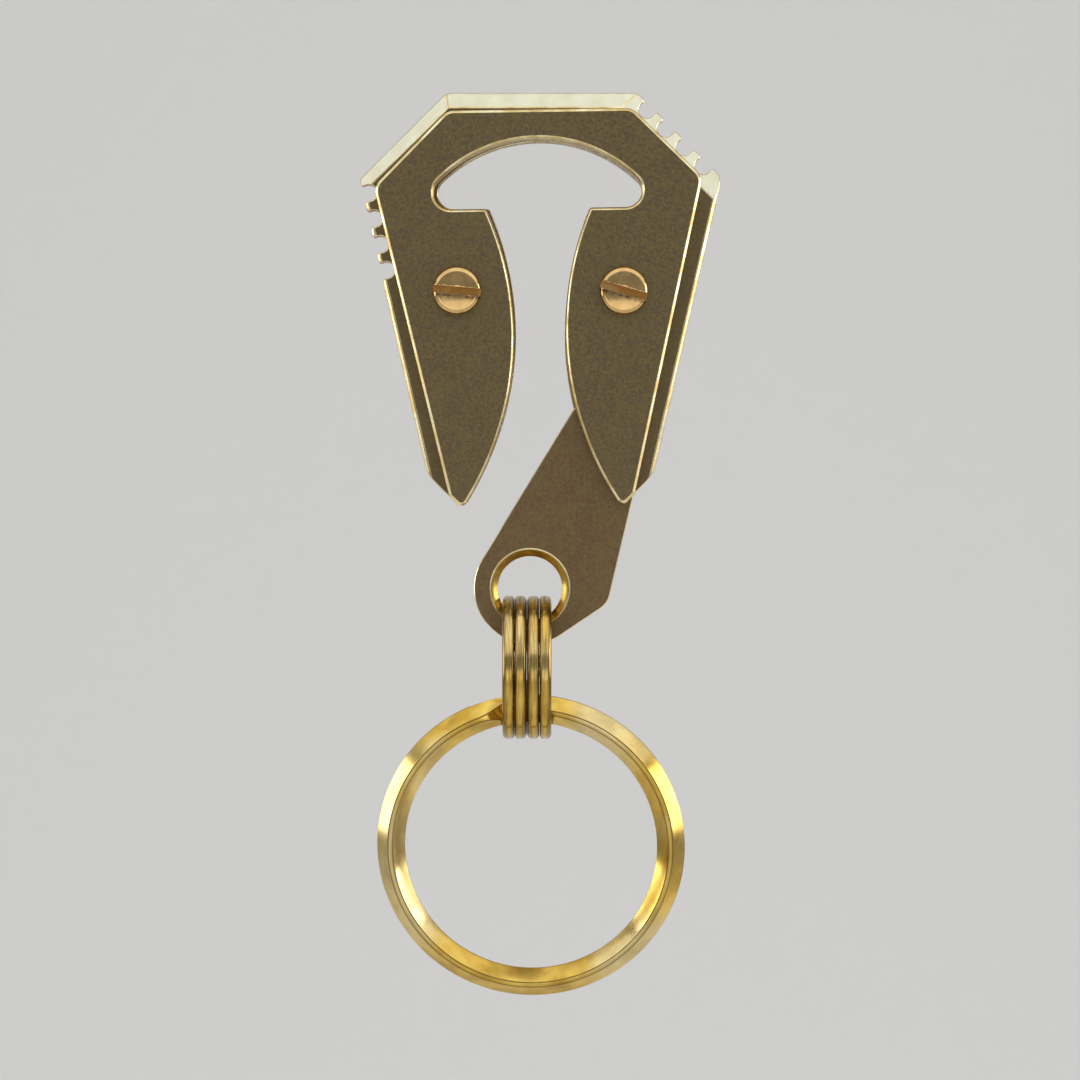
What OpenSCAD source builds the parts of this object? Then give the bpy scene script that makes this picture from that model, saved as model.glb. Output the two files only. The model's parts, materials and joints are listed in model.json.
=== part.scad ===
// Belt key clip in brass: two horseshoe plates clamped on a spacer, a swinging tail arm
// between them, and three split rings hanging from the arm.
// The front faces -Y, Z is up, and the origin is the crown of the arch that a belt loop hangs in.

/* [Plates] */
// Thickness of the front plate
front_t = 1.2; // [0.8:0.1:2]
// Thickness of the back plate
back_t = 2.0; // [1.6:0.1:3]
// Width of the straight top edge of the front plate
top_w = 18.4; // [16:0.1:20]
// How far the top edge sits to the right of the middle
top_shift = 0.3; // [0:0.05:0.5]
// Height of the front plate above the crown of the arch
arch_wall = 2.9; // [2.4:0.1:4]
// Half width across both prongs at the height of the screws, front plate
prong_half_w = 13.9; // [13.2:0.1:15]
// Taper of each outer side, in degrees
taper = 12.9; // [11:0.1:14]
// How far the back plate stands out at the sides
side_rim = 1.6; // [1.2:0.1:2]
// How far the back plate stands out at the right shoulder
right_rim = 1.6; // [1.2:0.05:2.2]
// How far the back plate stands out at the top
top_rim = 2.0; // [1.4:0.05:2.4]
// How far the back plate stands out at the left shoulder
left_rim = 1.8; // [1.2:0.05:2.2]
// Turn of the front plate on the clip, in degrees, as it was fitted by hand
front_turn = 0.8; // [0:0.1:1]
// Radius of the outer corners
corner_r = 1.6; // [0.6:0.05:2]

/* [Opening] */
// Radius of the arch
arch_r = 14.1; // [13:0.1:16]
// Depth of the two ledges below the crown of the arch
ledge_drop = 6.95; // [6:0.05:7.5]
// Radius of the round ends of the arch
end_r = 1.7; // [1.4:0.1:2]
// Radius of the corner where a ledge meets its prong
ledge_corner_r = 0.4; // [0.2:0.05:0.8]
// Narrowest gap between the prongs
gap_w = 5.1; // [4.8:0.1:6]
// Depth of the narrowest place below the crown of the arch
gap_drop = 19.4; // [18:0.1:21]
// Radius of the curved inner edge of each prong
prong_r = 31; // [29:0.1:33]
// Radius of the tip of each prong
tip_r = 0.65; // [0.5:0.05:1]
// How much tighter the opening is in the back plate
back_step = 0.1; // [0:0.01:0.3]
// Width of the slanted end of each prong, front plate
foot_w = 1.85; // [1.6:0.01:3]

/* [Edges of the back plate] */
// Width of the bevel on the left shoulder
left_bevel_w = 1.25; // [0.6:0.05:1.6]
// Width of the bevel on the top edge
top_bevel_w = 1.55; // [0.8:0.05:2]
// Width of the bevel on the right shoulder
right_bevel_w = 2.25; // [1:0.05:2.5]
// Depth of these three bevels
bevel_d = 1.0; // [0.5:0.05:1.2]
// Radius of the corner between the left shoulder and its side
left_corner_r = 0.65; // [0.3:0.05:0.8]
// Radius of the outer corner at the foot of each prong
foot_r = 4.2; // [2:0.1:5]
// Width of the bevel on the outer sides
side_bevel_w = 0.35; // [0.2:0.05:0.8]
// Depth of the bevel on the outer sides
side_bevel_d = 0.35; // [0.2:0.05:0.8]
// Radius of the round grip notches
notch_r = 0.85; // [0.6:0.01:1]
// Depth of a notch's centre inside the edge
notch_inset = 0.59; // [0.4:0.01:0.8]
// Radius of the rounded tips of the teeth between the notches
tooth_r = 0.3; // [0.1:0.05:0.4]
// Distance from notch to notch
notch_pitch = 2.65; // [2.4:0.05:3]
// Distance from the left shoulder to the first notch below it
left_notch_start = 1.57; // [1.2:0.01:2]
// Distance from the right end of the top edge to the first notch
right_notch_start = 1.9; // [1.6:0.01:2.2]
// Number of notches in each row, where the edge has room for them
notch_count = 4; // [2:1:4]

/* [Screws and pivot] */
// Distance from the middle to each screw
screw_x = 8.3; // [8:0.05:8.6]
// Depth of the screws below the crown of the arch
screw_drop = 15.2; // [14.5:0.1:16]
// Diameter of the screw thread
screw_d = 2.5; // [2:0.1:2.6]
// Diameter of the screw head
head_d = 4.8; // [4.4:0.1:5.4]
// Height of the screw head
head_h = 1.2; // [1:0.05:1.5]
// Radius of the rim of the screw head
head_rim_r = 0.55; // [0.3:0.05:0.8]
// Width of the screwdriver slot
slot_w = 0.74; // [0.5:0.01:0.9]
// Depth of the screwdriver slot
slot_d = 0.6; // [0.4:0.05:0.8]
// Tilt of the slot in the left screw, in degrees
left_slot_turn = 5; // [0:1:90]
// Tilt of the slot in the right screw, in degrees
right_slot_turn = 16; // [0:1:90]
// Outer diameter of the bush that the arm turns on
bush_d = 3.6; // [3.4:0.1:4]
// Outer diameter of the thin washers beside the arm
washer_d = 6.4; // [5:0.1:7]
// Thickness of each washer
washer_t = 0.15; // [0.1:0.01:0.2]

/* [Tail arm] */
// Thickness of the arm
arm_t = 1.5; // [1.2:0.1:2]
// Distance from the pivot to the middle of the ring hole
arm_len = 31.06; // [30:0.02:32]
// Lean of the arm to the left of straight down, in degrees
arm_lean = 17.5; // [17:0.1:18]
// Radius of the neck round the pivot
neck_r = 4.0; // [3.6:0.1:4.4]
// Radius of the round end
arm_end_r = 5.6; // [5:0.1:6]
// Radius of the ring hole
ring_hole_r = 3.2; // [3.1:0.05:3.5]
// Width of the countersink round the ring hole
sink_w = 0.75; // [0.4:0.05:1]
// Depth of the countersink
sink_d = 0.55; // [0.3:0.05:0.6]
// Distance of the left shoulder from the pivot, along the arm
shoulder_at = 12.9; // [12:0.1:14]
// Distance of the left shoulder from the arm's middle line
shoulder_out = 1.28; // [1:0.01:1.6]
// Length of the slant between the neck and the left shoulder
shoulder_rise = 1.7; // [1:0.1:2]
// Distance of the neck's left edge from the middle line where the slant starts
neck_out = 0.33; // [0.2:0.01:0.6]
// Distance of the right hip from the pivot, along the arm
hip_at = 14.8; // [14:0.1:16]
// Distance of the right hip from the middle line
hip_out = 6.74; // [6.4:0.02:7]
// Distance of the heel corner from the pivot, along the arm
heel_at = 30.2; // [29:0.1:31]
// Distance of the heel corner from the middle line
heel_out = 7.85; // [7.4:0.05:8.2]
// Radius of the arm's corners
arm_corner_r = 0.8; // [0.4:0.05:1]

/* [Rings] */
// Outer diameter of the two link rings
link_d = 14.3; // [14:0.1:15]
// Width of the link rings' wire, seen from the side of the ring
link_wire_w = 1.2; // [1:0.05:1.3]
// Thickness of one turn of a link ring
link_wire_t = 1.19; // [1:0.01:1.25]
// How far the pair of link rings hangs to the left of the hole's middle
link_shift = 0.3; // [0:0.05:0.4]
// Outer diameter of the key ring
key_d = 31.0; // [29:0.1:32]
// Width of the key ring's wire, from its outer to its inner edge
key_wire_w = 2.8; // [2.4:0.05:3]
// Thickness of one turn of the key ring
key_wire_t = 1.45; // [1:0.05:1.6]
// Width of each bevel on the key ring
key_bevel_w = 1.16; // [0.6:0.02:1.2]
// Thickness that the bevels leave at the edges of one turn of the key ring
key_edge_t = 0.12; // [0.1:0.01:0.4]
// How far the key ring's middle hangs to the right of the pair of link rings
key_shift = 0.23; // [0:0.01:0.5]
// Lean of the key ring, its lower edge towards the back, in degrees
key_lean = 9.8; // [0:0.1:20]
// Turn of the key ring about the vertical, its right edge towards the front, in degrees
key_turn = 2.8; // [0:0.1:6]

/* [Hidden] */

// Clearances and small breaks
run_gap = 0.02;
screw_gap = 0.05;
thread_gap = 0.01;
bush_gap = 0.03;
spacer_inset = 0.2;
no_rims = [0, 0, 0, 0];
neck_gap = 0.3;
leg_stop = 3.0;
thread_end = 0.3;
slit = 0.04;
hang_gap = 0.06;
wire_break = 0.08;
link_break = 0.36;
over = 1;

// Steps of a rounded corner, of a long arc, and facets of a round hole
corner_steps = 8;
long_steps = 40;
hole_fn = 64;

// Facets of one ring turn, and the angles of the step where a wire changes over
link_facets = 36;
key_facets = 60;
link_jog = 24;
key_jog = 12;
jog_gap = 1.5;
key_jog_at = 107.5;

// Where things are, from front to back
spacer_t = arm_t + 2 * (washer_t + run_gap);
spacer_y = -spacer_t / 2;
front_y = spacer_y - front_t;
back_y = spacer_t / 2;
back_face_y = back_y + back_t;

pivot = [screw_x, -screw_drop];
clamp = [-screw_x, -screw_drop];
arm_dir = [-sin(arm_lean), -cos(arm_lean)];
arm_side = [cos(arm_lean), -sin(arm_lean)];
ring_hole = pivot + arm_len * arm_dir;

shoulder_angle = 45;
prong_c = [gap_w / 2 + prong_r, -gap_drop];
end_z = -ledge_drop + end_r;
end_c = [sqrt(pow(arch_r - end_r, 2) - pow(end_z + arch_r, 2)), end_z];

// Outline helpers: [x, z] points, angles counter-clockwise as seen from the front

function toward(a) = [cos(a), sin(a)];

function bearing(v) = atan2(v[1], v[0]);

function arc(c, r, a, b, n) = [for (i = [0 : n]) c + r * toward(a + (b - a) * i / n)];

function mirrored(pts) = [for (i = [len(pts) - 1 : -1 : 0]) [-pts[i][0], pts[i][1]]];

// Where two lines meet, each given by the angle of its normal and its distance from the origin
function meet(a, p, b, q) =
    [p * sin(b) - q * sin(a), q * cos(a) - p * cos(b)] / sin(b - a);

// The rounded corner b between its neighbours a and c
function corner(a, b, c, r) =
    let (u = (a - b) / norm(a - b), v = (c - b) / norm(c - b),
         half = acos(u * v) / 2,
         k = b + (u + v) / norm(u + v) * r / sin(half),
         s = bearing(b + u * r / tan(half) - k),
         e = bearing(b + v * r / tan(half) - k))
    arc(k, r, s, s + (e - s + 540) % 360 - 180, corner_steps);

// Angle at which a line from q touches the circle of radius r round c
function touch(c, r, q, side) = bearing(q - c) + side * acos(r / norm(q - c));

// Middle of a circle that touches a line and the inner edge of the right prong
function tip_centre(a, p, r, edge_r) =
    let (q = (p - r) * toward(a), u = toward(a + 90), w = q - prong_c, b = w * u)
    q - (b + sqrt(b * b - w * w + pow(edge_r - r, 2))) * u;

// Distances of the straight outer edges from the origin, for a rim round the front plate.
// Rims are listed as [side, right shoulder, top, left shoulder].
function side_reach(rims) =
    prong_half_w * cos(taper) + screw_drop * sin(taper) + rims[0];
function shoulder_reach(rim, side) =
    (top_w / 2 + side * top_shift) * cos(shoulder_angle) + arch_wall * sin(shoulder_angle) + rim;

function right_shoulder(rims) =
    meet(-taper, side_reach(rims), shoulder_angle, shoulder_reach(rims[1], 1));
function right_top(rims) =
    meet(shoulder_angle, shoulder_reach(rims[1], 1), 90, arch_wall + rims[2]);
function left_top(rims) =
    meet(90, arch_wall + rims[2], 180 - shoulder_angle, shoulder_reach(rims[3], -1));
function left_shoulder(rims) =
    meet(180 - shoulder_angle, shoulder_reach(rims[3], -1), 180 + taper, side_reach(rims));
function right_foot(rims, reach) = meet(-shoulder_angle, reach, -taper, side_reach(rims));

// Lower end of the right prong's inner edge, where the slanted end is foot_w wide
function foot_inner() =
    let (n = toward(-taper), u = toward(90 - taper),
         w = (side_reach(no_rims) - foot_w * cos(shoulder_angle + taper)) * n - prong_c,
         b = w * u)
    prong_c + w - (b + sqrt(b * b - w * w + pow(prong_r, 2))) * u;
foot_reach = foot_inner() * toward(-shoulder_angle);

// One round notch in an edge whose normal is at a, between two rounded tooth tips
function notch(at, a) =
    let (c = at - notch_inset * toward(a), reach = notch_r + tooth_r,
         lean = asin((notch_inset - tooth_r) / reach),
         tip = reach * cos(lean) * toward(a + 90), rise = (notch_inset - tooth_r) * toward(a))
    concat(arc(c - tip + rise, tooth_r, a, a + 90 + lean, corner_steps),
           arc(c, notch_r, a + 270 + lean, a + 90 - lean, corner_steps * 2),
           arc(c + tip + rise, tooth_r, a - 90 - lean, a, corner_steps));

// How many notches an edge of this length has room for
function notches_on(edge, start) =
    min(notch_count, 1 + floor((edge - start - notch_r - tooth_r) / notch_pitch));

// A row of notches, in the order of the outline; side is 1 if it starts at the corner
function notch_row(from, to, a, start, side) =
    let (count = notches_on(norm(to - from), start))
    [for (i = [0 : count - 1])
        let (k = side > 0 ? i : count - 1 - i)
        each notch(from + side * (start + k * notch_pitch) * toward(a + 90), a)];

// Inner edge of the right half: arch end, ledge, prong, tip and slanted end
function leg(rims, step, reach, outer_r) =
    let (edge_r = prong_r + step, ledge_z = -ledge_drop + step,
         lz = ledge_z - ledge_corner_r,
         lx = prong_c[0] - sqrt(pow(edge_r - ledge_corner_r, 2) - pow(lz - prong_c[1], 2)),
         la = bearing([lx, lz] - prong_c),
         t = tip_centre(-shoulder_angle, reach, tip_r, edge_r),
         ta = bearing(t - prong_c) + 360,
         foot = right_foot(rims, reach))
    concat(arc(end_c, end_r - step, bearing(end_c + [0, arch_r]), -90, corner_steps * 2),
           arc([lx, lz], ledge_corner_r, 90, la, corner_steps),
           arc(prong_c, edge_r, la, ta, long_steps),
           arc(t, tip_r, ta, 360 - shoulder_angle, corner_steps),
           corner(foot - toward(90 - shoulder_angle), foot, foot + toward(90 - taper), outer_r));

// The whole outline of a horseshoe plate, with its rows of notches where toothed is true.
// The radii are those of the foot, of the left shoulder and of the other three corners.
function horseshoe(rims, radii, step, reach, toothed) =
    let (right = leg(rims, step, reach, radii[0]), base = right[len(right) - 1], r = radii[2],
         rs = right_shoulder(rims), rt = right_top(rims),
         lt = left_top(rims), ls = left_shoulder(rims),
         arch_a = bearing(end_c + [0, arch_r]))
    concat(right, corner(base, rs, rt, r),
           toothed ? notch_row(rt, rs, shoulder_angle, right_notch_start, -1) : [],
           corner(rs, rt, lt, r), corner(rt, lt, ls, r),
           corner(lt, ls, [-base[0], base[1]], radii[1]),
           toothed ? notch_row(ls, mirrored([base])[0], 180 + taper, left_notch_start, 1) : [],
           mirrored(right),
           arc([0, -arch_r], arch_r - step, 180 - arch_a, arch_a, long_steps));

back_rims = [side_rim, right_rim, top_rim, left_rim];
spacer_rims = no_rims - spacer_inset * [1, 1, 1, 1];
front_radii = [tip_r, corner_r, corner_r];
back_radii = [foot_r, left_corner_r, corner_r];
front_outline = horseshoe(no_rims, front_radii, 0, foot_reach, false);
spacer_outline = horseshoe(spacer_rims, front_radii, 0, foot_reach - spacer_inset, false);
back_outline = horseshoe(back_rims, back_radii, back_step, foot_reach, true);

// A point of the arm from its distances along and across it
function on_arm(along, across) = pivot + along * arm_dir + across * arm_side;

arm_shoulder = on_arm(shoulder_at, -shoulder_out);
arm_waist = on_arm(shoulder_at - shoulder_rise, -neck_out);
arm_hip = on_arm(hip_at, hip_out);
arm_heel = on_arm(heel_at, heel_out);
neck_right_a = touch(pivot, neck_r, arm_hip, 1);
neck_left_a = touch(pivot, neck_r, arm_waist, -1) + 360;
end_left_a = touch(ring_hole, arm_end_r, arm_shoulder, 1);
end_heel_a = touch(ring_hole, arm_end_r, arm_heel, -1) + 360;
neck_right = pivot + neck_r * toward(neck_right_a);
neck_left = pivot + neck_r * toward(neck_left_a);
end_left = ring_hole + arm_end_r * toward(end_left_a);
end_heel = ring_hole + arm_end_r * toward(end_heel_a);

arm_outline = concat(arc(pivot, neck_r, neck_right_a, neck_left_a, corner_steps * 3),
                     corner(neck_left, arm_waist, arm_shoulder, arm_corner_r),
                     corner(arm_waist, arm_shoulder, end_left, arm_corner_r / 2),
                     arc(ring_hole, arm_end_r, end_left_a, end_heel_a, corner_steps * 3),
                     corner(end_heel, arm_heel, arm_hip, arm_corner_r * 2.5),
                     corner(arm_heel, arm_hip, neck_right, arm_corner_r * 2));

// Rings: the link rings' inner edge hangs just inside the hole, at their outer corners
link_r = link_d / 2;
link_pair_w = 4 * link_wire_t + 3 * slit;
link_lip = link_pair_w / 2 + link_shift;
link_drop = min(sqrt(pow(ring_hole_r, 2) - pow(link_lip - link_break, 2)),
                sqrt(pow(ring_hole_r, 2) - pow(link_lip, 2)) + link_break) - hang_gap;
link_c = ring_hole + [-link_shift, -link_drop + link_wire_w - link_r];
link_offset = link_wire_t + slit;

// The key ring's inner edge rests on the inner edge of the link rings
key_r = key_d / 2;
key_bore_r = key_r - key_wire_w;
key_lip = link_pair_w / 2 + key_shift;
link_bore_r = link_r - link_wire_w;
key_bevel_d = key_wire_t - key_edge_t;
key_edge_y = key_edge_t + slit / 2;
key_drop = sqrt(pow(link_bore_r, 2) - pow(key_edge_y, 2)) - hang_gap
           + sqrt(pow(key_bore_r, 2) - pow(key_lip, 2));

// Modules that place things across the clip

module slab(y, t) {
    translate([0, y + t, 0])
        rotate([90, 0, 0])
            linear_extrude(t)
                children();
}

module bore(at, y, t, r) {
    translate([at[0], y - over, at[1]])
        rotate([-90, 0, 0])
            cylinder(h = t + 2 * over, r = r, $fn = hole_fn);
}

module fitted() {
    mid = -(screw_drop + ledge_drop) - end_r;
    translate([0, 0, mid])
        rotate([0, -front_turn, 0])
            translate([0, 0, -mid])
                children();
}

// Cuts a bevel along an edge: a is the angle of its normal and from is one of its corners
module bevel(from, a, length, w, d) {
    translate([from[0], back_y, from[1]])
        rotate([0, -a, 0])
            translate([0, 0, -over])
                linear_extrude(length + 2 * over)
                    polygon([[-2 * w, -d], [w, -d], [w, 2 * d]]);
}

module back_plate() {
    rs = right_shoulder(back_rims);
    rt = right_top(back_rims);
    lt = left_top(back_rims);
    ls = left_shoulder(back_rims);
    foot = right_foot(back_rims, foot_reach);
    left_foot = [-foot[0], foot[1]];
    color([0.50, 0.42, 0.28])
        difference() {
            slab(back_y, back_t)
                polygon(back_outline);
            bore(pivot, back_y, back_t, screw_d / 2 + thread_gap);
            bore(clamp, back_y, back_t, screw_d / 2 + thread_gap);
            bevel(foot, -taper, norm(rs - foot), side_bevel_w, side_bevel_d);
            bevel(rs, shoulder_angle, norm(rt - rs), right_bevel_w, bevel_d);
            bevel(rt, 90, norm(lt - rt), top_bevel_w, bevel_d);
            bevel(lt, 180 - shoulder_angle, norm(ls - lt), left_bevel_w, bevel_d);
            bevel(ls, 180 + taper, norm(left_foot - ls), side_bevel_w, side_bevel_d);
        }
}

module spacer_plate() {
    color([0.46, 0.39, 0.26])
        difference() {
            fitted()
                slab(spacer_y, spacer_t)
                    polygon(spacer_outline);
            bore(clamp, spacer_y, spacer_t, screw_d / 2 + screw_gap);
            bore(pivot, spacer_y, spacer_t, neck_r + neck_gap);
            translate([0, spacer_y - over, -screw_drop + leg_stop - prong_r])
                cube([prong_r, spacer_t + 2 * over, prong_r]);
        }
}

module front_plate() {
    color([0.48, 0.41, 0.28])
        difference() {
            fitted()
                slab(front_y, front_t)
                    polygon(front_outline);
            bore(pivot, front_y, front_t, screw_d / 2 + screw_gap);
            bore(clamp, front_y, front_t, screw_d / 2 + screw_gap);
        }
}

// A slotted screw through the whole stack, its head on the front plate
module screw(at, slot_turn) {
    r = screw_d / 2;
    grip = back_face_y - front_y;
    flat_r = head_d / 2 - head_rim_r;
    rim = arc([flat_r, head_h - head_rim_r], head_rim_r, 0, 90, corner_steps);
    color([0.83, 0.72, 0.48])
        translate([at[0], front_y, at[1]])
            difference() {
                rotate([90, 0, 0])
                    rotate_extrude($fn = hole_fn)
                        polygon(concat([[0, -grip], [r - thread_end, -grip],
                                        [r, thread_end - grip], [r, 0], [head_d / 2, 0]],
                                       rim, [[0, head_h]]));
                rotate([0, slot_turn, 0])
                    translate([-head_d, -head_h - over, -slot_w / 2])
                        cube([2 * head_d, slot_d + over, slot_w]);
            }
}

module clamp_screw() {
    screw(clamp, left_slot_turn);
}

module pivot_screw() {
    screw(pivot, right_slot_turn);
}

module collar(y, t, outer_r, inner_r) {
    translate([pivot[0], y, pivot[1]])
        rotate([-90, 0, 0])
            difference() {
                cylinder(h = t, r = outer_r, $fn = hole_fn);
                translate([0, 0, -over])
                    cylinder(h = t + 2 * over, r = inner_r, $fn = hole_fn);
            }
}

module pivot_bush() {
    color([0.70, 0.52, 0.30])
        collar(spacer_y, spacer_t, bush_d / 2, screw_d / 2 + screw_gap);
}

module front_washer() {
    color([0.74, 0.58, 0.36])
        collar(spacer_y, washer_t, washer_d / 2, bush_d / 2 + bush_gap);
}

module back_washer() {
    color([0.74, 0.58, 0.36])
        collar(back_y - washer_t, washer_t, washer_d / 2, bush_d / 2 + bush_gap);
}

module tail_arm() {
    arm_y = -arm_t / 2;
    color([0.52, 0.44, 0.31])
        difference() {
            slab(arm_y, arm_t)
                polygon(arm_outline);
            bore(pivot, arm_y, arm_t, bush_d / 2 + bush_gap);
            bore(ring_hole, arm_y, arm_t, ring_hole_r);
            for (side = [-1, 1]) {
                translate([ring_hole[0], side * (arm_t / 2 - sink_d), ring_hole[1]])
                    rotate([-90 * side, 0, 0])
                        cylinder(h = 2 * sink_d, r1 = ring_hole_r,
                                 r2 = ring_hole_r + 2 * sink_w, $fn = hole_fn);
            }
        }
}

// A split ring: one wire wound twice, round the local z axis, its turns a slit apart.
// The first turn lies at -z. The wire crosses over between the turns at the angle jog_at.
module split_ring(r, w, t, bevel_w, bevel_d, small, facets, jog, jog_at) {
    start = jog / 2 + jog_gap;
    jog_start = 360 - jog / 2;
    finish = 720 - jog / 2 - jog_gap;
    jog_steps = 6;
    angles = concat([for (i = [0 : facets - 1]) start + (jog_start - start) * i / facets],
                    [for (i = [0 : jog_steps - 1]) jog_start + jog * i / jog_steps],
                    [for (i = [0 : facets]) jog_start + jog
                                            + (finish - jog_start - jog) * i / facets]);
    rise = t + slit;
    function share(a) = let (k = max(0, min(1, (a - jog_start) / jog))) k * k * (3 - 2 * k);
    function blend(p, q, k) = p + (q - p) * k;
    function section(k) =
        let (fw = blend(bevel_w, small, k), fd = blend(bevel_d, small, k),
             bw = blend(small, bevel_w, k), bd = blend(small, bevel_d, k))
        [[-w / 2 + fw, -t / 2], [w / 2 - fw, -t / 2], [w / 2, -t / 2 + fd],
         [w / 2, t / 2 - bd], [w / 2 - bw, t / 2], [-w / 2 + bw, t / 2],
         [-w / 2, t / 2 - bd], [-w / 2, -t / 2 + fd]];
    sides = 8;
    points = [for (a = angles) for (p = section(share(a)))
                 let (q = r - w / 2 + p[0], d = jog_at + a)
                 [q * cos(d), q * sin(d), p[1] + (share(a) - 1 / 2) * rise]];
    last = (len(angles) - 1) * sides;
    faces = concat([for (i = [0 : len(angles) - 2]) for (j = [0 : sides - 1])
                       let (a = i * sides + j, b = i * sides + (j + 1) % sides)
                       each [[a, a + sides, b + sides], [a, b + sides, b]]],
                   [for (j = [1 : sides - 2]) [0, j, j + 1]],
                   [for (j = [1 : sides - 2]) [last, last + j + 1, last + j]]);
    polyhedron(points, faces);
}

module link_ring(offset_x) {
    color([0.80, 0.62, 0.22])
        translate([link_c[0] + offset_x, 0, link_c[1]])
            rotate([0, 90, 0])
                split_ring(link_r, link_wire_w, link_wire_t, link_break, link_break,
                           wire_break, link_facets, link_jog, 90);
}

module link_ring_left() {
    link_ring(-link_offset);
}

module link_ring_right() {
    link_ring(link_offset);
}

module key_ring() {
    color([0.82, 0.64, 0.22])
        translate([link_c[0] + key_shift, 0, link_c[1]])
            rotate([key_lean, 0, -key_turn])
                translate([0, 0, -key_drop])
                    rotate([-90, 0, 0])
                        split_ring(key_r, key_wire_w, key_wire_t, key_bevel_w, key_bevel_d,
                                   wire_break, key_facets, key_jog, -key_jog_at);
}

back_plate();
spacer_plate();
front_plate();
clamp_screw();
pivot_screw();
pivot_bush();
front_washer();
back_washer();
tail_arm();
link_ring_left();
link_ring_right();
key_ring();
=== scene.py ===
# A belt key clip in aged brass: two horseshoe plates clamped on a spacer, a swinging tail arm
# and three split rings. Lengths are in metres. The front faces -Y and Z is up.
import json
import math

import bmesh
import bpy
from mathutils import Matrix, Vector


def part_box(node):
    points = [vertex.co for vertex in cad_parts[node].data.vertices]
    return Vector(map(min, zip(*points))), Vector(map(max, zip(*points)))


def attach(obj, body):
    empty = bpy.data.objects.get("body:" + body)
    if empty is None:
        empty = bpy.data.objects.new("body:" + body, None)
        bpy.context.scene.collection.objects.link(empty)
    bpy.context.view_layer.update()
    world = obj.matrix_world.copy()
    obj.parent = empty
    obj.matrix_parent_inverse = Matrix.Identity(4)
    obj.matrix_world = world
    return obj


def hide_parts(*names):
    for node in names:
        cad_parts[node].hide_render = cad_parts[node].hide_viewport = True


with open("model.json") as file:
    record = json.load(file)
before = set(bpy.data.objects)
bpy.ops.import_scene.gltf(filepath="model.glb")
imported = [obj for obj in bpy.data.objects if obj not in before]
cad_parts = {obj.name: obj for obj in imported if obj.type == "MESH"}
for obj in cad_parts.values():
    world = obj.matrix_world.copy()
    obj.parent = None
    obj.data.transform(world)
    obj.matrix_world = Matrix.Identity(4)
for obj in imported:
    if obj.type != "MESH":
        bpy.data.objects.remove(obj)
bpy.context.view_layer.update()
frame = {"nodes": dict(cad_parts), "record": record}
mm = 0.001

# Camera.
# It stands level with the middle of the hanging clip, 450 mm in front, as in the photograph.
view_distance = 450 * mm
view_width = 108 * mm
camera = bpy.data.objects.new("camera", bpy.data.cameras.new("camera"))
camera.data.lens = camera.data.sensor_width * view_distance / view_width
camera.location = (-0.04 * mm, -view_distance, -40 * mm)
camera.rotation_euler = (math.radians(90), 0, 0)
bpy.context.scene.collection.objects.link(camera)
bpy.context.scene.camera = camera
bpy.context.scene.view_settings.view_transform = "Standard"

# Studio.
# A pale floor runs back under the clip and curves up into the backdrop. A wide soft box hangs
# above, two small ones light the flanks of the rings, and a low one in front lights the faces.
floor_z = -350 * mm
floor_front = -3000 * mm
cove_start = 450 * mm
cove_r = 450 * mm
wall_top = 1200 * mm
floor_half_w = 1500 * mm
cove_steps = 24
paper_tone = (0.68, 0.67, 0.65, 1)
paper_glow = 0.08
world_tone = (0.31, 0.32, 0.34, 1)
soft_boxes = (
    ("soft_box_top", (0, -0.30, 0.60), 2.7, 1.3, 9.6),
    ("soft_box_left", (-0.62, 0.02, 0.03), 0.5, 0.32, 1.5),
    ("soft_box_right", (0.62, 0.02, 0.04), 0.5, 0.32, 2.0),
    ("soft_box_low", (0, -0.90, -0.22), 1.2, 0.26, 0.9),
)


def new_object(name, mesh, *materials):
    made = bpy.data.objects.new(name, mesh)
    for material in materials:
        mesh.materials.append(material)
    bpy.context.scene.collection.objects.link(made)
    return made


def new_material(name):
    material = bpy.data.materials.new(name)
    material.use_nodes = True
    return material, material.node_tree, material.node_tree.nodes["Principled BSDF"]


def node(tree, kind, inputs=(), **settings):
    """A new node with its settings, and with its inputs as values or as other nodes' sockets."""
    made = tree.nodes.new(kind)
    for name, value in settings.items():
        setattr(made, name, value)
    for key, value in dict(inputs).items():
        if isinstance(value, bpy.types.NodeSocket):
            tree.links.new(value, made.inputs[key])
        else:
            made.inputs[key].default_value = value
    return made


cove = [(floor_front, floor_z)]
for i in range(cove_steps + 1):
    a = math.radians(90) * i / cove_steps
    cove.append((cove_start + cove_r * math.sin(a), floor_z + cove_r * (1 - math.cos(a))))
cove.append((cove_start + cove_r, wall_top))
mesh = bpy.data.meshes.new("studio_cove")
mesh.from_pydata(
    [(x, y, z) for y, z in cove for x in (-floor_half_w, floor_half_w)], [],
    [(2 * i, 2 * i + 1, 2 * i + 3, 2 * i + 2) for i in range(len(cove) - 1)])
mesh.shade_smooth()
paper, tree, shader = new_material("pale_paper")
ray = tree.nodes.new("ShaderNodeLightPath").outputs
seen = node(tree, "ShaderNodeMath", {0: ray["Is Camera Ray"], 1: ray["Is Glossy Ray"]})
seen = node(tree, "ShaderNodeMath", {0: seen.outputs[0], 1: ray["Is Transmission Ray"]})
glow = node(tree, "ShaderNodeMath", {0: seen.outputs[0], 1: paper_glow}, operation="MULTIPLY")
tree.links.new(glow.outputs[0], shader.inputs["Emission Strength"])
shader.inputs["Emission Color"].default_value = paper_tone
shader.inputs["Base Color"].default_value = paper_tone
shader.inputs["Roughness"].default_value = 0.9
shader.inputs["Specular IOR Level"].default_value = 0.1
new_object("studio_cove", mesh, paper)

world = bpy.data.worlds.new("studio")
world.use_nodes = True
world.node_tree.nodes["Background"].inputs["Color"].default_value = world_tone
bpy.context.scene.world = world

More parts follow.
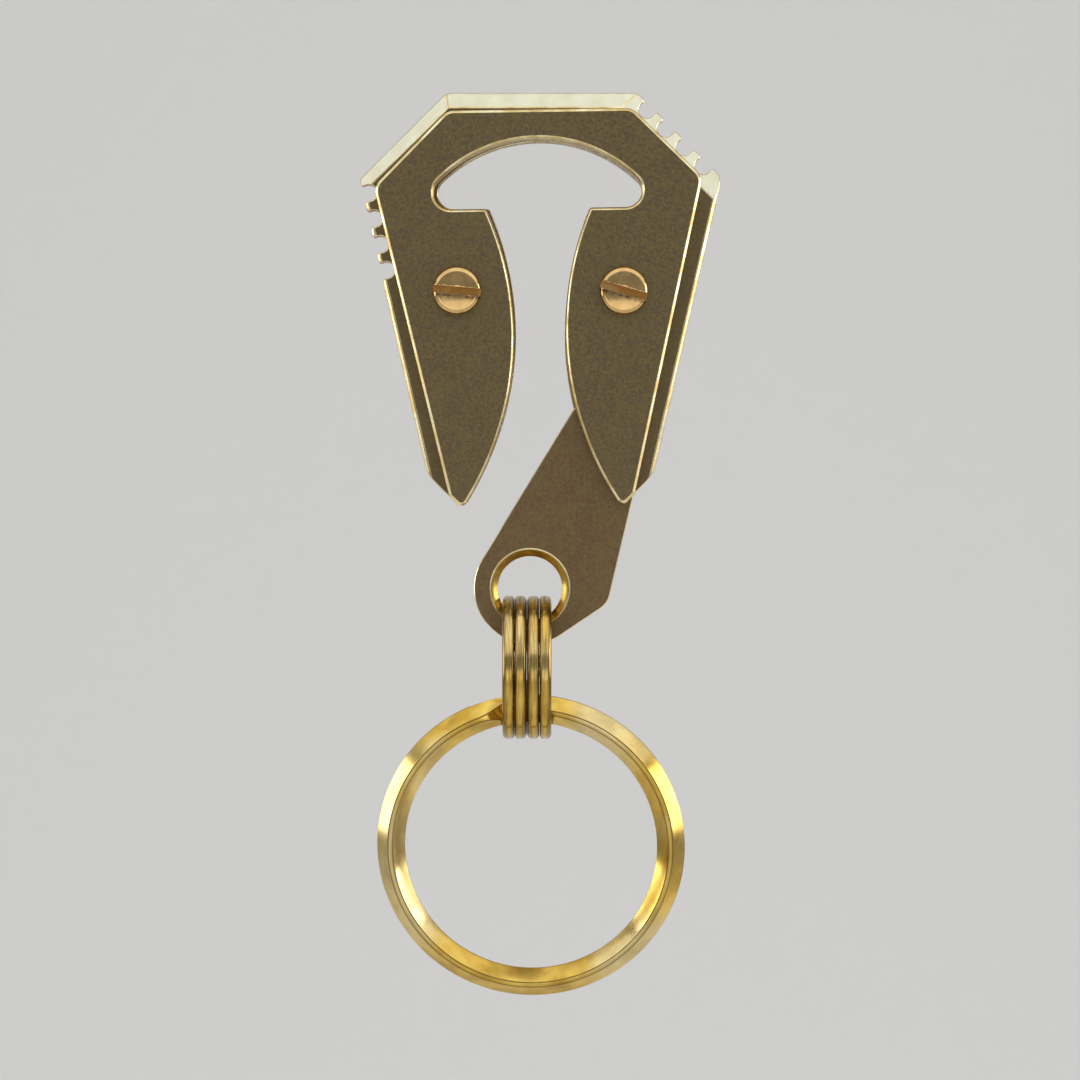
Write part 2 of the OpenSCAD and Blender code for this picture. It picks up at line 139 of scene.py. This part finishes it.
for name, place, size_x, size_y, watts in soft_boxes:
    lamp = bpy.data.lights.new(name, "AREA")
    lamp.shape = "RECTANGLE"
    lamp.size = size_x
    lamp.size_y = size_y
    lamp.energy = watts
    made = bpy.data.objects.new(name, lamp)
    made.location = place
    made.visible_camera = False
    aim = camera.location * Vector((1, 0, 1)) - Vector(place)
    made.rotation_euler = aim.to_track_quat("-Z", "Y").to_euler()
    bpy.context.scene.collection.objects.link(made)

# Back plate.
# The thickest plate, sawn from brass sheet, with grip notches filed into two of its edges. Its
# faces have aged to a dark olive brown, while the filed bevels round the top are still bright.
aged_olive = (0.176, 0.139, 0.054)
aged_brown = (0.146, 0.100, 0.060)
speck_gold = (0.34, 0.27, 0.14)
rubbed_edge = (0.86, 0.74, 0.44)
rubbed_gold = (0.60, 0.44, 0.17)
filed_cream = (0.72, 0.71, 0.54)
filed_straw = (0.66, 0.63, 0.46)
sawn_gold = (0.38, 0.25, 0.08)
sawn_brown = (0.23, 0.145, 0.05)
mottle_scale = 3200
grain_scale = 6500
patch_scale = 420
wear_scale = 420
scuff_scale = 5200
saw_scale = 3400
stain_scale = 700
file_scale = 5200
cloud_scale = 480
polish_depth = 0.01 * mm
saw_depth = 0.03 * mm
back_edge_r = 0.09 * mm
edge_segments = 6
edge_profile = 0.32
crease = math.radians(21)
flat_limit = 0.985
wall_limit = 0.2
flank_share = 0.33
merge_gap = 0.001 * mm
flat_angle = math.radians(0.3)
flat_weight = 60


def rgb(color):
    return (*color, 1)


def object_place(tree, scale=(1, 1, 1), turn=0, centre=(0, 0, 0)):
    """Object coordinates round a centre, turned about Y and then stretched."""
    place = node(tree, "ShaderNodeTexCoord").outputs["Object"]
    place = node(tree, "ShaderNodeVectorMath", {0: place, 1: centre}, operation="SUBTRACT")
    place = node(tree, "ShaderNodeVectorRotate",
                 {"Vector": place.outputs[0], "Angle": turn}, rotation_type="Y_AXIS")
    return node(tree, "ShaderNodeMapping",
                {"Vector": place.outputs[0], "Scale": scale}).outputs[0]


def noise(tree, place, scale, detail=2.0):
    return node(tree, "ShaderNodeTexNoise",
                {"Vector": place, "Scale": scale, "Detail": detail}).outputs["Fac"]


def spread(tree, value, low, high, to_low=0.0, to_high=1.0):
    return node(tree, "ShaderNodeMapRange", {"Value": value, "From Min": low, "From Max": high,
                                             "To Min": to_low, "To Max": to_high}).outputs[0]


def tint(tree, share, a, b):
    return node(tree, "ShaderNodeMix", {0: share, 6: a, 7: b}, data_type="RGBA").outputs[2]


def roughen(tree, shader, height, strength, depth):
    bump = node(tree, "ShaderNodeBump",
                {"Height": height, "Strength": strength, "Distance": depth})
    tree.links.new(bump.outputs[0], shader.inputs["Normal"])


def aged_face(name, olive, brown):
    """Dull aged brass: slow patches, a fine mottle, small bright specks and a rubbed grain."""
    material, tree, shader = new_material(name)
    place = object_place(tree)
    mottle = noise(tree, place, mottle_scale, 3)
    grain = noise(tree, place, grain_scale)
    slow = spread(tree, noise(tree, place, patch_scale, 3), 0, 1, -0.13, 0.13)
    both = node(tree, "ShaderNodeMath", {0: slow, 1: mottle}).outputs[0]
    tone = tint(tree, spread(tree, both, 0.38, 0.62), rgb(brown), rgb(olive))
    tone = tint(tree, spread(tree, grain, 0.58, 0.72, 0.0, 0.45), tone, rgb(speck_gold))
    tree.links.new(tone, shader.inputs["Base Color"])
    tree.links.new(spread(tree, mottle, 0.3, 0.7, 0.38, 0.54), shader.inputs["Roughness"])
    shader.inputs["Metallic"].default_value = 0.85
    roughen(tree, shader, grain, 0.35, polish_depth)
    return material


def worn_edge(name, bright, gold, low=0.38, high=0.62):
    """A rounded edge that pockets have rubbed bright, with duller places in between."""
    material, tree, shader = new_material(name)
    place = object_place(tree)
    wear = noise(tree, place, wear_scale, 3)
    tone = tint(tree, spread(tree, wear, low, high), rgb(gold), rgb(bright))
    tree.links.new(tone, shader.inputs["Base Color"])
    tree.links.new(spread(tree, wear, low, high, 0.34, 0.2), shader.inputs["Roughness"])
    shader.inputs["Metallic"].default_value = 1.0
    roughen(tree, shader, noise(tree, place, scuff_scale), 0.2, polish_depth)
    return material


def sawn_wall(name):
    """A sawn edge: fine marks run straight through the plate's thickness."""
    material, tree, shader = new_material(name)
    marks = noise(tree, object_place(tree, scale=(1, 0.06, 1)), saw_scale, 3)
    stain = noise(tree, object_place(tree), stain_scale)
    tone = tint(tree, spread(tree, marks, 0.35, 0.7), rgb(sawn_brown), rgb(sawn_gold))
    tone = tint(tree, spread(tree, stain, 0.45, 0.7, 0.0, 0.7), tone, rgb(sawn_gold))
    tree.links.new(tone, shader.inputs["Base Color"])
    tree.links.new(spread(tree, marks, 0.3, 0.7, 0.45, 0.28), shader.inputs["Roughness"])
    shader.inputs["Metallic"].default_value = 1.0
    roughen(tree, shader, marks, 0.35, saw_depth)
    return material


def filed_bevel(name):
    """A freshly filed and brushed bevel, pale as straw, with fine lines across it."""
    material, tree, shader = new_material(name)
    lines = noise(tree, object_place(tree, scale=(1, 0.2, 0.05)), file_scale, 3)
    cloud = noise(tree, object_place(tree), cloud_scale, 3)
    tone = tint(tree, spread(tree, cloud, 0.35, 0.65), rgb(filed_straw), rgb(filed_cream))
    tree.links.new(tone, shader.inputs["Base Color"])
    tree.links.new(spread(tree, lines, 0.3, 0.7, 0.3, 0.46), shader.inputs["Roughness"])
    shader.inputs["Metallic"].default_value = 1.0
    roughen(tree, shader, lines, 0.25, polish_depth)
    return material


def even_shading(piece):
    """Shades the flat faces flat and leaves the turn of the light to the rounded edges."""
    evened = piece.modifiers.new("evened", "WEIGHTED_NORMAL")
    evened.weight = flat_weight


def worked_plate(name, source, body, edge_r, *materials, flank_share=0):
    """A plate with rounded edges. Its materials are those of its faces, edges, walls and bevels,
    and a bevel along its flanks looks like an edge."""
    shape = bmesh.new()
    shape.from_mesh(frame["nodes"][source].data)
    bmesh.ops.remove_doubles(shape, verts=shape.verts, dist=merge_gap)
    bmesh.ops.dissolve_limit(shape, angle_limit=flat_angle,
                             verts=shape.verts, edges=shape.edges)
    for face in shape.faces:
        across = abs(face.normal.y)
        if across > flat_limit:
            face.material_index = 0
        elif across < wall_limit:
            face.material_index = 2
        elif abs(face.normal.z) < flank_share * abs(face.normal.x):
            face.material_index = 1
        else:
            face.material_index = 3
        face.smooth = True
    sharp = [e for e in shape.edges if e.is_manifold and e.calc_face_angle() > crease]
    bmesh.ops.bevel(shape, geom=sharp, offset=edge_r, offset_type="OFFSET",
                    segments=edge_segments, profile=edge_profile, affect="EDGES",
                    clamp_overlap=False, material=1)
    for face in shape.faces:
        face.smooth = True
    mesh = bpy.data.meshes.new(name)
    shape.to_mesh(mesh)
    shape.free()
    plate = new_object(name, mesh, *materials)
    even_shading(plate)
    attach(plate, body)
    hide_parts(source)
    return plate


plate_edge = worn_edge("rubbed_plate_edge", rubbed_edge, rubbed_gold)
plate_wall = sawn_wall("sawn_plate_wall")
back_plate = worked_plate("back_plate_worked", "back_plate", "clip", back_edge_r,
                          aged_face("back_plate_face", aged_olive, aged_brown),
                          plate_edge, plate_wall, filed_bevel("filed_bevel"),
                          flank_share=flank_share)

# Spacer plate.
# It keeps the two plates apart, so that the tail arm can swing between them. Only its sawn edge
# shows, a little inside theirs.
spacer_edge_r = 0.05 * mm
spacer_plate = worked_plate("spacer_plate_worked", "spacer_plate", "clip", spacer_edge_r,
                            aged_face("spacer_face", aged_brown, aged_brown),
                            plate_edge, plate_wall)

# Front plate.
# The thin plate that shows most. Its two faces are dull and mottled, and its edge has been
# rounded and polished to a fine bright line all the way round.
front_edge_r = 0.30 * mm
front_plate = worked_plate("front_plate_worked", "front_plate", "clip", front_edge_r,
                           aged_face("front_plate_face", aged_olive, aged_brown),
                           plate_edge, plate_wall)

# Screws.
# Two slotted machine screws in polished brass, turned on a lathe. They pass through the whole
# stack, and their ends are flush with the back plate.
screw_d = 2.5 * mm
thread_end = 0.3 * mm
head_d = 4.8 * mm
head_h = 1.2 * mm
head_rim_r = 0.55 * mm
head_dome = 0.12 * mm
head_foot_r = 0.06 * mm
slot_w = 0.74 * mm
slot_d = 0.60 * mm
slot_edge_r = 0.04 * mm
slot_turns = {"clamp_screw": 5, "pivot_screw": 16}
screw_gold = (0.74, 0.49, 0.20)
slot_dark = (0.20, 0.09, 0.04)
slot_dark_at = -0.55 * mm
slot_dark_w = 0.30 * mm
slot_brown = (0.42, 0.20, 0.05)
weld_gap = 0.0005 * mm
screw_polish = 0.09
lathe_scale = 9000
smear_scale = 900
slot_dark_scale = 2200
slot_crease = math.radians(35)
lathe_steps = 96
dome_steps = 6
rim_steps = 7


def geometry_tree(name, inputs):
    """An empty node tree that makes a mesh, with named inputs as (name, kind) pairs."""
    tree = bpy.data.node_groups.new(name, "GeometryNodeTree")
    tree.is_modifier = True
    tree.interface.new_socket("Geometry", in_out="OUTPUT", socket_type="NodeSocketGeometry")
    for label, kind in inputs:
        tree.interface.new_socket(label, in_out="INPUT", socket_type="NodeSocket" + kind)
    return tree, tree.nodes.new("NodeGroupInput").outputs


def math_node(tree, operation, a, b=0.0, c=0.0):
    return node(tree, "ShaderNodeMath", {0: a, 1: b, 2: c}, operation=operation).outputs[0]


def finish_tree(tree, geometry, material):
    """Ends a tree in one realized mesh with its material set."""
    solid = node(tree, "GeometryNodeRealizeInstances", {0: geometry}).outputs[0]
    if material is not None:
        solid = node(tree, "GeometryNodeSetMaterial",
                     {"Geometry": solid, "Material": material}).outputs[0]
    output = tree.nodes.new("NodeGroupOutput")
    tree.links.new(solid, output.inputs[0])


def grown_mesh(name, tree, values):
    """The mesh that a tree makes from its named inputs."""
    seed = bpy.data.objects.new("seed", bpy.data.meshes.new("seed"))
    bpy.context.scene.collection.objects.link(seed)
    grower = seed.modifiers.new("grow", "NODES")
    grower.node_group = tree
    for item in tree.interface.items_tree:
        if item.in_out == "INPUT":
            grower[item.identifier] = values[item.name]
    bpy.context.view_layer.update()
    graph = bpy.context.evaluated_depsgraph_get()
    mesh = bpy.data.meshes.new_from_object(seed.evaluated_get(graph))
    mesh.name = name
    bpy.data.objects.remove(seed)
    return mesh


def profile_object(name, points):
    """A string of points that a tree reads as a section or a lathe profile, as (x, z) pairs."""
    mesh = bpy.data.meshes.new(name)
    mesh.from_pydata([(x, 0, z) for x, z in points], [(i, i + 1) for i in range(len(points) - 1)],
                     [])
    made = bpy.data.objects.new(name, mesh)
    bpy.context.scene.collection.objects.link(made)
    return made


def sampled_place(tree, profile, index):
    """The place of a profile's point with that index."""
    points = node(tree, "GeometryNodeObjectInfo", {0: profile}).outputs["Geometry"]
    place = node(tree, "GeometryNodeInputPosition").outputs[0]
    sample = node(tree, "GeometryNodeSampleIndex", {"Geometry": points, "Index": index},
                  data_type="FLOAT_VECTOR", clamp=True)
    tree.links.new(place, sample.inputs["Value"])
    return sample.outputs[0]


def split_place(tree, place):
    return node(tree, "ShaderNodeSeparateXYZ", {0: place}).outputs


def join_place(tree, x, y, z):
    return node(tree, "ShaderNodeCombineXYZ", {0: x, 1: y, 2: z}).outputs[0]


# The tree revolves the profile about Y and cuts the slot with a turned block.
tree, given = geometry_tree("slotted_screw", (
    ("Profile", "Object"), ("Points", "Int"), ("Steps", "Int"), ("Slot width", "Float"),
    ("Slot depth", "Float"), ("Slot length", "Float"), ("Slot turn", "Float"),
    ("Head top", "Float"), ("Brass", "Material"), ("Slot brass", "Material")))
rows = math_node(tree, "ADD", given["Steps"], 1)
skin = node(tree, "GeometryNodeMeshGrid", {"Vertices X": rows, "Vertices Y": given["Points"]})
index = node(tree, "GeometryNodeInputIndex").outputs[0]
row = math_node(tree, "FLOOR", math_node(tree, "DIVIDE", index, given["Points"]))
angle = math_node(tree, "MULTIPLY", math_node(tree, "DIVIDE", row, given["Steps"]), math.tau)
at = split_place(tree, sampled_place(tree, given["Profile"],
                                     math_node(tree, "MODULO", index, given["Points"])))
place = join_place(tree, math_node(tree, "MULTIPLY", at["X"], math_node(tree, "COSINE", angle)),
                   at["Z"], math_node(tree, "MULTIPLY", at["X"], math_node(tree, "SINE", angle)))
body = node(tree, "GeometryNodeSetPosition", {"Geometry": skin.outputs[0], "Position": place})
body = node(tree, "GeometryNodeMergeByDistance", {"Geometry": body.outputs[0],
                                                  "Distance": weld_gap})
body = node(tree, "GeometryNodeSetMaterial",
            {"Geometry": body.outputs[0], "Material": given["Brass"]})
block_y = math_node(tree, "MULTIPLY", given["Slot depth"], 2)
block = node(tree, "GeometryNodeMeshCube",
             {"Size": join_place(tree, given["Slot length"], block_y, given["Slot width"])})
block = node(tree, "GeometryNodeTransform",
             {"Geometry": block.outputs[0],
              "Translation": join_place(tree, 0.0, given["Head top"], 0.0),
              "Rotation": join_place(tree, 0.0, given["Slot turn"], 0.0)})
block = node(tree, "GeometryNodeSetMaterial",
             {"Geometry": block.outputs[0], "Material": given["Slot brass"]})
slotted = node(tree, "GeometryNodeMeshBoolean", {"Mesh 1": body.outputs[0],
                                                 "Mesh 2": block.outputs[0]},
               operation="DIFFERENCE", solver="EXACT")
finish_tree(tree, slotted.outputs[0], None)


def turned_brass(name, color, centre, roughness, turn=None):
    """Polished brass from the lathe, with faint rings round its middle. A screw whose slot has
    that turn is darker in patches along the slot's lower side."""
    material, tree, shader = new_material(name)
    place = object_place(tree, scale=(1, 0, 1), centre=centre)
    reach = node(tree, "ShaderNodeVectorMath", {0: place}, operation="LENGTH").outputs["Value"]
    rings = node(tree, "ShaderNodeTexNoise", {"W": reach, "Scale": lathe_scale, "Detail": 2.0},
                 noise_dimensions="1D").outputs["Fac"]
    cloud = noise(tree, object_place(tree), smear_scale, 3)
    darker = tuple(0.8 * c for c in color)
    tone = tint(tree, spread(tree, cloud, 0.4, 0.65), rgb(darker), rgb(color))
    if turn is not None:
        # Darker in noisy patches in a band along the slot's lower side only.
        across = split_place(tree, object_place(tree, turn=-turn, centre=centre))["Z"]
        away = math_node(tree, "ABSOLUTE", math_node(tree, "SUBTRACT", across, slot_dark_at))
        near = spread(tree, away, 0, slot_dark_w, 1, 0)
        patch = spread(tree, noise(tree, object_place(tree), slot_dark_scale, 3), 0.35, 0.6)
        tone = tint(tree, math_node(tree, "MULTIPLY", near, patch), tone, rgb(slot_dark))
    tree.links.new(tone, shader.inputs["Base Color"])
    tree.links.new(spread(tree, cloud, 0.3, 0.7, roughness, roughness * 1.8),
                   shader.inputs["Roughness"])
    shader.inputs["Metallic"].default_value = 1.0
    roughen(tree, shader, rings, 0.06, polish_depth)
    return material


for source, turn in slot_turns.items():
    low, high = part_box(source)
    middle = (low + high) / 2
    head_foot_y = low.y + head_h
    flat_r = head_d / 2 - head_rim_r
    dome_r = (flat_r ** 2 + head_dome ** 2) / (2 * head_dome)
    profile = [(0, high.y), (screw_d / 2 - thread_end, high.y),
               (screw_d / 2, high.y - thread_end), (screw_d / 2, head_foot_y),
               (head_d / 2 - head_foot_r, head_foot_y), (head_d / 2, head_foot_y - head_foot_r)]
    for i in range(rim_steps + 1):
        a = math.radians(90) * i / rim_steps
        profile.append((flat_r + head_rim_r * math.cos(a),
                        low.y + head_dome + head_rim_r * (1 - math.sin(a))))
    for i in range(1, dome_steps + 1):
        r = flat_r * (1 - i / dome_steps)
        profile.append((r, low.y + dome_r - math.sqrt(dome_r ** 2 - r ** 2)))
    outline = profile_object(source + "_profile", profile)
    centre = (middle.x, 0, middle.z)
    brass = turned_brass(source + "_brass", screw_gold, centre, screw_polish,
                         math.radians(turn))
    slot_brass = worn_edge(source + "_slot", screw_gold, slot_brown, 0.5, 0.75)
    mesh = grown_mesh(source + "_turned", tree, {
        "Profile": outline, "Points": len(profile), "Steps": lathe_steps,
        "Slot width": slot_w, "Slot depth": slot_d, "Slot length": 2 * head_d,
        "Slot turn": math.radians(turn), "Head top": low.y, "Brass": brass,
        "Slot brass": slot_brass})
    bpy.data.objects.remove(outline)
    mesh.transform(Matrix.Translation(centre))
    shape = bmesh.new()
    shape.from_mesh(mesh)
    bmesh.ops.remove_doubles(shape, verts=shape.verts, dist=weld_gap)
    bmesh.ops.recalc_face_normals(shape, faces=shape.faces)
    sharp = [e for e in shape.edges if e.is_manifold and e.calc_face_angle() > slot_crease
             and min(v.co.y for v in e.verts) < head_foot_y - head_foot_r]
    bmesh.ops.bevel(shape, geom=sharp, offset=slot_edge_r, offset_type="OFFSET", segments=2,
                    profile=0.5, affect="EDGES", clamp_overlap=True)
    shape.to_mesh(mesh)
    shape.free()
    mesh.shade_smooth()
    screw = new_object(source + "_turned", mesh)
    even_shading(screw)
    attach(screw, "clip")
    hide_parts(source)

# Pivot bush and washers.
# The arm turns on a bronze bush round the right screw, between two thin bronze washers. They
# hide between the plates and keep the arm from rubbing.
bronze_tone = (0.58, 0.37, 0.17)
bronze_polish = 0.22
for source in ("pivot_bush", "front_washer", "back_washer"):
    low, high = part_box(source)
    bronze = turned_brass(source + "_bronze", bronze_tone, (low + high) / 2, bronze_polish)
    for place in frame["nodes"][source].material_slots:
        place.material = bronze

# Tail arm.
# A swinging arm of the same aged brass, browner than the plates. A bright countersink rings the
# hole that the two link rings hang in.
arm_olive = (0.192, 0.132, 0.056)
arm_brown = (0.160, 0.101, 0.052)
arm_edge_r = 0.08 * mm
countersink_gold = (0.58, 0.38, 0.08)
countersink_brown = (0.34, 0.21, 0.05)
tail_arm = worked_plate("tail_arm_worked", "tail_arm", "arm", arm_edge_r,
                        aged_face("tail_arm_face", arm_olive, arm_brown),
                        worn_edge("rubbed_arm_edge", rubbed_edge, rubbed_gold, 0.34, 0.56),
                        plate_wall,
                        worn_edge("countersink", countersink_gold, countersink_brown))

# Link rings.
# Two small split rings, each one brass wire wound twice. They hang side by side in the hole of
# the arm, and the wire's outer corners have been tumbled round.
link_d = 14.3 * mm
link_w = 1.2 * mm
link_t = 1.19 * mm
link_round = 0.50 * mm
link_break = 0.36 * mm
link_jog = 24
link_steps = 420
turn_slit = 0.04 * mm
end_gap = 1.5
ring_gold = (0.78, 0.54, 0.12)
ring_amber = (0.52, 0.32, 0.05)
ring_film = (0.76, 0.65, 0.37)
# A dark brown for the faint lines along the wire, and also for the painted shade on its rounded
# corners.
ring_tarnish_and_shade = (0.17, 0.10, 0.03)
corner_steps = 5
line_scale = (260, 22, 1)
tint_scale = 300
film_scale = 85
line_depth = 0.02 * mm
link_polish = 0.13
link_streaks = 0.7

# The tree sweeps a section twice round a circle. Each row of the grid is one section, and the
# front turn's section passes into the back turn's where the wire crosses over.
coil, given = geometry_tree("wound_wire", (
    ("Front section", "Object"), ("Back section", "Object"), ("Sides", "Int"), ("Steps", "Int"),
    ("Radius", "Float"), ("Rise", "Float"), ("Start", "Float"), ("Finish", "Float"),
    ("Jog start", "Float"), ("Jog", "Float"), ("Turned", "Float"), ("Brass", "Material")))
columns = math_node(coil, "ADD", given["Sides"], 1)
skin = node(coil, "GeometryNodeMeshGrid", {"Vertices X": given["Steps"], "Vertices Y": columns})
index = node(coil, "GeometryNodeInputIndex").outputs[0]
row = math_node(coil, "FLOOR", math_node(coil, "DIVIDE", index, columns))
column = math_node(coil, "MODULO", index, columns)
side = math_node(coil, "MODULO", column, given["Sides"])
last_row = math_node(coil, "SUBTRACT", given["Steps"], 1)
along = node(coil, "ShaderNodeMapRange",
             {"Value": row, "From Min": 1.0, "From Max": math_node(coil, "SUBTRACT", last_row, 1),
              "To Min": given["Start"], "To Max": given["Finish"]}).outputs[0]
jog_end = math_node(coil, "ADD", given["Jog start"], given["Jog"])
share = node(coil, "ShaderNodeMapRange",
             {"Value": along, "From Min": given["Jog start"], "From Max": jog_end},
             interpolation_type="SMOOTHSTEP").outputs[0]
section = node(coil, "ShaderNodeMix",
               {0: share, 4: sampled_place(coil, given["Front section"], side),
                5: sampled_place(coil, given["Back section"], side)},
               data_type="VECTOR").outputs[1]
inside = math_node(coil, "MULTIPLY", math_node(coil, "GREATER_THAN", row, 0.5),
                   math_node(coil, "LESS_THAN", row, math_node(coil, "SUBTRACT", last_row, 0.5)))
section = node(coil, "ShaderNodeVectorMath", {0: section, "Scale": inside},
               operation="SCALE").outputs[0]
offset = split_place(coil, section)
reach = math_node(coil, "ADD", given["Radius"], offset["X"])
angle = math_node(coil, "ADD", along, given["Turned"])
lift = math_node(coil, "MULTIPLY", math_node(coil, "SUBTRACT", share, 0.5), given["Rise"])
place = join_place(coil, math_node(coil, "MULTIPLY", reach, math_node(coil, "COSINE", angle)),
                   math_node(coil, "MULTIPLY", reach, math_node(coil, "SINE", angle)),
                   math_node(coil, "ADD", offset["Z"], lift))
wire = node(coil, "GeometryNodeSetPosition", {"Geometry": skin.outputs[0], "Position": place})
lay = join_place(coil, math_node(coil, "MULTIPLY", along, given["Radius"]),
                 math_node(coil, "DIVIDE", column, given["Sides"]), 0.0)
lay = node(coil, "GeometryNodeFieldOnDomain", {0: lay}, data_type="FLOAT_VECTOR",
           domain="POINT").outputs[0]
wire = node(coil, "GeometryNodeStoreNamedAttribute",
            {"Geometry": wire.outputs[0], "Name": "wire_lay", "Value": lay},
            data_type="FLOAT2", domain="CORNER")
wire = node(coil, "GeometryNodeMergeByDistance", {"Geometry": wire.outputs[0],
                                                  "Distance": weld_gap})
finish_tree(coil, wire.outputs[0], given["Brass"])


def drawn_brass(name, gold, amber, roughness, corners, streaks):
    """Gold-coloured drawn wire: faint lines along it, and painted shade darkening its rounded
    corners.
    """
    material, tree, shader = new_material(name)
    lay = node(tree, "ShaderNodeUVMap", uv_map="wire_lay").outputs[0]
    around = math_node(tree, "MULTIPLY", split_place(tree, lay)["Y"], corners)
    middle = corner_steps / (corner_steps + 1) / 2
    away = math_node(tree, "SUBTRACT", math_node(tree, "FRACT", around), middle)
    # Painted shade: the middle of each rounded corner of the wire's section is darkened, in place
    # of the dark lines that the light draws along rounded edges and between the turns.
    painted_corner_shade = spread(tree, math_node(tree, "ABSOLUTE", away), 0.12, 0.38, 0.75, 0.0)
    lay = node(tree, "ShaderNodeMapping", {"Vector": lay, "Scale": line_scale}).outputs[0]
    lines = noise(tree, lay, 1.0, 3)
    cloud = noise(tree, object_place(tree), tint_scale, 3)
    film = spread(tree, noise(tree, object_place(tree), film_scale, 2), 0.46, 0.62, 0.0, 0.6)
    tone = tint(tree, spread(tree, cloud, 0.35, 0.65), rgb(amber), rgb(gold))
    tone = tint(tree, film, tone, rgb(ring_film))
    tone = tint(tree, spread(tree, lines, 0.46, 0.64, 0.0, streaks), tone, rgb(ring_tarnish_and_shade))
    tree.links.new(tint(tree, painted_corner_shade, tone, rgb(ring_tarnish_and_shade)), shader.inputs["Base Color"])
    tree.links.new(spread(tree, lines, 0.3, 0.7, roughness, roughness * 2),
                   shader.inputs["Roughness"])
    shader.inputs["Metallic"].default_value = 1.0
    roughen(tree, shader, lines, 0.3, line_depth)
    return material


def rounded_bend(before, at, after, radius, steps):
    """Points on an arc that rounds the corner at the middle one of three points."""
    u, v = (before - at).normalized(), (after - at).normalized()
    half = u.angle(v) / 2
    middle = at + (u + v).normalized() * radius / math.sin(half)
    start = at + u * radius / math.tan(half) - middle
    end = at + v * radius / math.tan(half) - middle
    return [tuple(middle + (start * math.sin((1 - k) * (math.pi - 2 * half))
                            + end * math.sin(k * (math.pi - 2 * half)))
                  / math.sin(math.pi - 2 * half)) for k in (i / steps for i in range(steps + 1))]


def wire_section(w, t, corners):
    """A closed section: corners holds the rounding of each corner of an outline, from (x, z)."""
    points = [Vector((x * w / 2, z * t / 2)) for x, z, r in corners]
    ring = []
    for i, (x, z, r) in enumerate(corners):
        after = points[(i + 1) % len(points)]
        ring += rounded_bend(points[i - 1], points[i], after, r, corner_steps)
    return ring


def wound_ring(name, source, body, front, back, outer_r, w, t, jog, turned, steps, brass, place):
    """One split ring: a wire wound twice, its two turns a slit apart."""
    sections = [profile_object("front_section", front), profile_object("back_section", back)]
    half_jog = math.radians(jog) / 2
    gap = math.radians(end_gap)
    mesh = grown_mesh(name, coil, {
        "Front section": sections[0], "Back section": sections[1], "Sides": len(front),
        "Steps": steps, "Radius": outer_r - w / 2, "Rise": t + turn_slit,
        "Start": half_jog + gap, "Finish": 2 * math.tau - half_jog - gap,
        "Jog start": math.tau - half_jog, "Jog": 2 * half_jog,
        "Turned": math.radians(turned), "Brass": brass})
    for made in sections:
        bpy.data.objects.remove(made)
    mesh.transform(place)
    shape = bmesh.new()
    shape.from_mesh(mesh)
    bmesh.ops.recalc_face_normals(shape, faces=shape.faces)
    shape.to_mesh(mesh)
    shape.free()
    mesh.shade_smooth()
    ring = new_object(name, mesh)
    even_shading(ring)
    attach(ring, body)
    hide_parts(source)


link_front = wire_section(link_w, link_t, (
    (-1, -1, link_round), (1, -1, link_round), (1, 1, link_break), (-1, 1, link_break)))
link_back = wire_section(link_w, link_t, (
    (-1, -1, link_break), (1, -1, link_break), (1, 1, link_round), (-1, 1, link_round)))
link_brass = drawn_brass("link_ring_brass", ring_gold, ring_amber, link_polish, 4, link_streaks)
for source, body in (("link_ring_left", "left_link"), ("link_ring_right", "right_link")):
    low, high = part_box(source)
    middle = (low + high) / 2
    place = Matrix.Translation(middle) @ Matrix.Rotation(math.radians(90), 4, "Y")
    wound_ring(source + "_wound", source, body, link_front, link_back, link_d / 2, link_w,
               link_t, link_jog, 90, link_steps, link_brass, place)

# Key ring.
# One heavy flat wire wound twice, with a wide bevel on each outer corner, so that only a narrow
# crest is left between them. It leans, with its lower edge towards the back.
key_d = 31.0 * mm
key_w = 2.8 * mm
key_t = 1.45 * mm
key_bevel_w = 1.16 * mm
key_edge_t = 0.12 * mm
crest_round = 0.3 * mm
key_round = 0.05 * mm
key_break = 0.06 * mm
key_jog = 20
key_jog_at = 101
key_steps = 560
key_polish = 0.12
key_streaks = 0.3
bevel_x = 1 - 2 * key_bevel_w / key_w
edge_z = 1 - 2 * key_edge_t / key_t
key_front = wire_section(key_w, key_t, (
    (-bevel_x, -1, crest_round), (bevel_x, -1, crest_round), (1, edge_z, key_round),
    (1, 1, key_break), (-1, 1, key_break), (-1, edge_z, key_round)))
key_back = wire_section(key_w, key_t, (
    (-1, -1, key_break), (1, -1, key_break), (1, -edge_z, key_round),
    (bevel_x, 1, crest_round), (-bevel_x, 1, crest_round), (-1, -edge_z, key_round)))
grip = next(m for m in frame["record"]["mounts"] if m["name"] == "key_ring_grip")
turn = math.atan2(grip["axis"][0], grip["axis"][1])
lean = math.asin(grip["axis"][2])
place = (Matrix.Translation(grip["pos_m"]) @ Matrix.Rotation(-turn, 4, "Z")
         @ Matrix.Rotation(lean - math.radians(90), 4, "X"))
wound_ring("key_ring_wound", "key_ring", "keys", key_front, key_back, key_d / 2, key_w, key_t,
           key_jog, -key_jog_at, key_steps,
           drawn_brass("key_ring_brass", ring_gold, ring_amber, key_polish, 6, key_streaks), place)
